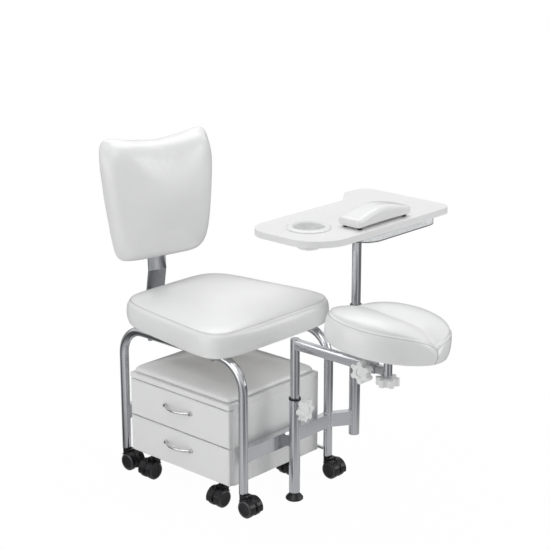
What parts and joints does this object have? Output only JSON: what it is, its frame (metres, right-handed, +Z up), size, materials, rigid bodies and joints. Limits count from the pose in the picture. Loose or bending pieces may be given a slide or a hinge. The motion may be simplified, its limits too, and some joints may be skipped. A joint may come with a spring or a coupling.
{
  "type": "pedicure working chair",
  "caption": "Working chair on casters with a drawer stool below, a footrest arm and a manicure table on its own mast",
  "frame": {"origin": "on the floor under the middle of the whole outline", "axes": "+Z up, -Y the way the sitter faces, +X to the sitter's left"},
  "size_m": [0.7684, 1.055, 0.9306],
  "materials": {
    "plated_tube": "bright plated tube",
    "white_leather": "smooth white upholstery",
    "plywood": "bare plywood",
    "white_board": "white laminate",
    "satin_steel": "satin",
    "black_plastic": "moulded",
    "handle_chrome": "polished",
    "clear_white_plastic": "milky",
    "white_plastic": "glossy",
    "caster_black": "moulded",
    "caster_wheel": "moulded"
  },
  "bodies": {
    "chair": {"left_leg_frame": "plated_tube", "right_leg_frame": "plated_tube", "front_bar": "plated_tube", "rear_bar": "plated_tube", "side_bar": "plated_tube", "table_bracket_bar": "plated_tube", "foot_post_tube": "plated_tube", "table_post_tube": "plated_tube", "leg_sockets": "black_plastic", "seat_board": "plywood", "seat_cushion": "white_leather", "fasteners": "satin_steel", "back_bracket": "satin_steel", "backrest_board": "plywood", "backrest_cushion": "white_leather"},
    "levelling_foot": {"levelling_foot": "black_plastic"},
    "stool": {"stool_cabinet": "white_board", "stool_top_panel": "white_board", "stool_cushion": "white_leather", "stool_runners": "satin_steel", "stool_sockets": "black_plastic"},
    "upper_drawer": {"upper_drawer_box": "white_board", "upper_drawer_front": "white_board", "upper_drawer_handle": "handle_chrome"},
    "lower_drawer": {"lower_drawer_box": "white_board", "lower_drawer_front": "white_board", "lower_drawer_handle": "handle_chrome"},
    "caster_fl": {"caster_fl_housing": "caster_black"},
    "caster_fl_wheels": {"caster_fl_wheels": "caster_wheel"},
    "caster_fr": {"caster_fr_housing": "caster_black"},
    "caster_fr_wheels": {"caster_fr_wheels": "caster_wheel"},
    "caster_rl": {"caster_rl_housing": "caster_black"},
    "caster_rl_wheels": {"caster_rl_wheels": "caster_wheel"},
    "caster_rr": {"caster_rr_housing": "caster_black"},
    "caster_rr_wheels": {"caster_rr_wheels": "caster_wheel"},
    "stool_caster_fl": {"stool_caster_fl_housing": "caster_black"},
    "stool_caster_fl_wheels": {"stool_caster_fl_wheels": "caster_wheel"},
    "stool_caster_fr": {"stool_caster_fr_housing": "caster_black"},
    "stool_caster_fr_wheels": {"stool_caster_fr_wheels": "caster_wheel"},
    "stool_caster_rl": {"stool_caster_rl_housing": "caster_black"},
    "stool_caster_rl_wheels": {"stool_caster_rl_wheels": "caster_wheel"},
    "stool_caster_rr": {"stool_caster_rr_housing": "caster_black"},
    "stool_caster_rr_wheels": {"stool_caster_rr_wheels": "caster_wheel"},
    "foot_collar": {"foot_post_collar": "black_plastic"},
    "foot_arm": {"foot_arm": "plated_tube"},
    "foot_post_knob": {"foot_post_knob": "clear_white_plastic"},
    "arm_slider": {"arm_slider": "plated_tube"},
    "arm_knob": {"arm_knob": "clear_white_plastic"},
    "footrest": {"footrest_stem": "plated_tube", "footrest_board": "plywood", "footrest_cushion": "white_leather"},
    "footrest_knob": {"footrest_knob": "clear_white_plastic"},
    "table_collar": {"table_post_collar": "black_plastic"},
    "table": {"table_post_mast": "plated_tube", "table_top": "white_board", "tray_collar": "plated_tube"},
    "table_post_knob": {"table_post_knob": "clear_white_plastic"},
    "tray": {"tray": "white_plastic"},
    "finger_bowl": {"finger_bowl": "white_plastic"},
    "hand_rest": {"hand_rest": "white_leather"}
  },
  "joints": [
    {"name": "caster_fl_swivel", "type": "hinge", "parent": "chair", "child": "caster_fl", "pos_m": [-0.31384, -0.02139, 0.05], "axis": [0, 0, 1], "continuous": true},
    {"name": "caster_fl_roll", "type": "hinge", "parent": "caster_fl", "child": "caster_fl_wheels", "pos_m": [-0.31384, -0.04339, 0.025], "axis": [1, 0, 0], "continuous": true},
    {"name": "caster_fr_swivel", "type": "hinge", "parent": "chair", "child": "caster_fr", "pos_m": [0.02616, -0.02139, 0.05], "axis": [0, 0, 1], "continuous": true},
    {"name": "caster_fr_roll", "type": "hinge", "parent": "caster_fr", "child": "caster_fr_wheels", "pos_m": [0.02616, -0.04339, 0.025], "axis": [1, 0, 0], "continuous": true},
    {"name": "caster_rl_swivel", "type": "hinge", "parent": "chair", "child": "caster_rl", "pos_m": [-0.31384, 0.43461, 0.05], "axis": [0, 0, 1], "continuous": true},
    {"name": "caster_rl_roll", "type": "hinge", "parent": "caster_rl", "child": "caster_rl_wheels", "pos_m": [-0.31384, 0.41261, 0.025], "axis": [1, 0, 0], "continuous": true},
    {"name": "caster_rr_swivel", "type": "hinge", "parent": "chair", "child": "caster_rr", "pos_m": [0.02616, 0.43461, 0.05], "axis": [0, 0, 1], "continuous": true},
    {"name": "caster_rr_roll", "type": "hinge", "parent": "caster_rr", "child": "caster_rr_wheels", "pos_m": [0.02616, 0.41261, 0.025], "axis": [1, 0, 0], "continuous": true},
    {"name": "levelling_foot_turn", "type": "hinge", "parent": "chair", "child": "levelling_foot", "pos_m": [-0.15384, -0.05839, 0.01], "axis": [0, 0, 1], "continuous": true},
    {"name": "stool_roll_out", "type": "slide", "parent": "chair", "child": "stool", "axis": [-1, 0, 0], "range_m": [0, 0.6]},
    {"name": "stool_caster_fl_swivel", "type": "hinge", "parent": "stool", "child": "stool_caster_fl", "pos_m": [-0.29984, 0.06161, 0.05], "axis": [0, 0, 1], "continuous": true},
    {"name": "stool_caster_fl_roll", "type": "hinge", "parent": "stool_caster_fl", "child": "stool_caster_fl_wheels", "pos_m": [-0.32184, 0.06161, 0.025], "axis": [0, 1, 0], "continuous": true},
    {"name": "stool_caster_fr_swivel", "type": "hinge", "parent": "stool", "child": "stool_caster_fr", "pos_m": [-0.02184, 0.06161, 0.05], "axis": [0, 0, 1], "continuous": true},
    {"name": "stool_caster_fr_roll", "type": "hinge", "parent": "stool_caster_fr", "child": "stool_caster_fr_wheels", "pos_m": [-0.04384, 0.06161, 0.025], "axis": [0, 1, 0], "continuous": true},
    {"name": "stool_caster_rl_swivel", "type": "hinge", "parent": "stool", "child": "stool_caster_rl", "pos_m": [-0.29984, 0.32861, 0.05], "axis": [0, 0, 1], "continuous": true},
    {"name": "stool_caster_rl_roll", "type": "hinge", "parent": "stool_caster_rl", "child": "stool_caster_rl_wheels", "pos_m": [-0.32184, 0.32861, 0.025], "axis": [0, 1, 0], "continuous": true},
    {"name": "stool_caster_rr_swivel", "type": "hinge", "parent": "stool", "child": "stool_caster_rr", "pos_m": [-0.02184, 0.32861, 0.05], "axis": [0, 0, 1], "continuous": true},
    {"name": "stool_caster_rr_roll", "type": "hinge", "parent": "stool_caster_rr", "child": "stool_caster_rr_wheels", "pos_m": [-0.04384, 0.32861, 0.025], "axis": [0, 1, 0], "continuous": true},
    {"name": "upper_drawer_slide", "type": "slide", "parent": "stool", "child": "upper_drawer", "axis": [-1, 0, 0], "range_m": [0, 0.25]},
    {"name": "lower_drawer_slide", "type": "slide", "parent": "stool", "child": "lower_drawer", "axis": [-1, 0, 0], "range_m": [0, 0.25]},
    {"name": "foot_post_turn", "type": "hinge", "parent": "chair", "child": "foot_collar", "pos_m": [-0.15384, -0.05839, 0.288], "axis": [0, 0, 1], "range_deg": [-60, 45]},
    {"name": "foot_post_height", "type": "slide", "parent": "foot_collar", "child": "foot_arm", "axis": [0, 0, 1], "range_m": [-0.08, 0.06]},
    {"name": "foot_post_knob_turn", "type": "hinge", "parent": "chair", "child": "foot_post_knob", "pos_m": [-0.15384, -0.05839, 0.264], "axis": [0.1736, -0.9848, 0], "continuous": true},
    {"name": "arm_extension", "type": "slide", "parent": "foot_arm", "child": "arm_slider", "axis": [0, -1, 0], "range_m": [0, 0.12]},
    {"name": "arm_knob_turn", "type": "hinge", "parent": "foot_arm", "child": "arm_knob", "pos_m": [-0.15384, -0.31739, 0.4415], "axis": [-1, 0, 0], "continuous": true},
    {"name": "footrest_swivel", "type": "hinge", "parent": "arm_slider", "child": "footrest", "pos_m": [-0.15384, -0.36939, 0.48], "axis": [0, 0, 1], "range_deg": [-90, 90]},
    {"name": "footrest_knob_turn", "type": "hinge", "parent": "arm_slider", "child": "footrest_knob", "pos_m": [-0.15384, -0.36939, 0.42], "axis": [0, 0, -1], "continuous": true},
    {"name": "table_post_turn", "type": "hinge", "parent": "chair", "child": "table_collar", "pos_m": [0.08916, -0.06339, 0.492], "axis": [0, 0, 1], "range_deg": [-90, 90]},
    {"name": "table_post_height", "type": "slide", "parent": "table_collar", "child": "table", "axis": [0, 0, 1], "range_m": [-0.12, 0.08]},
    {"name": "table_post_knob_turn", "type": "hinge", "parent": "chair", "child": "table_post_knob", "pos_m": [0.08916, -0.06339, 0.444], "axis": [1, 0, 0], "continuous": true},
    {"name": "tray_swing", "type": "hinge", "parent": "table", "child": "tray", "pos_m": [0.08916, -0.06339, 0.7], "axis": [0, 0, 1], "range_deg": [-60, 90]},
    {"name": "finger_bowl_lift", "type": "slide", "parent": "table", "child": "finger_bowl", "axis": [0, 0, 1], "range_m": [0, 0.06]},
    {"name": "hand_rest_lift", "type": "slide", "parent": "table", "child": "hand_rest", "axis": [0, 0, 1], "range_m": [0, 0.05]}
  ]
}
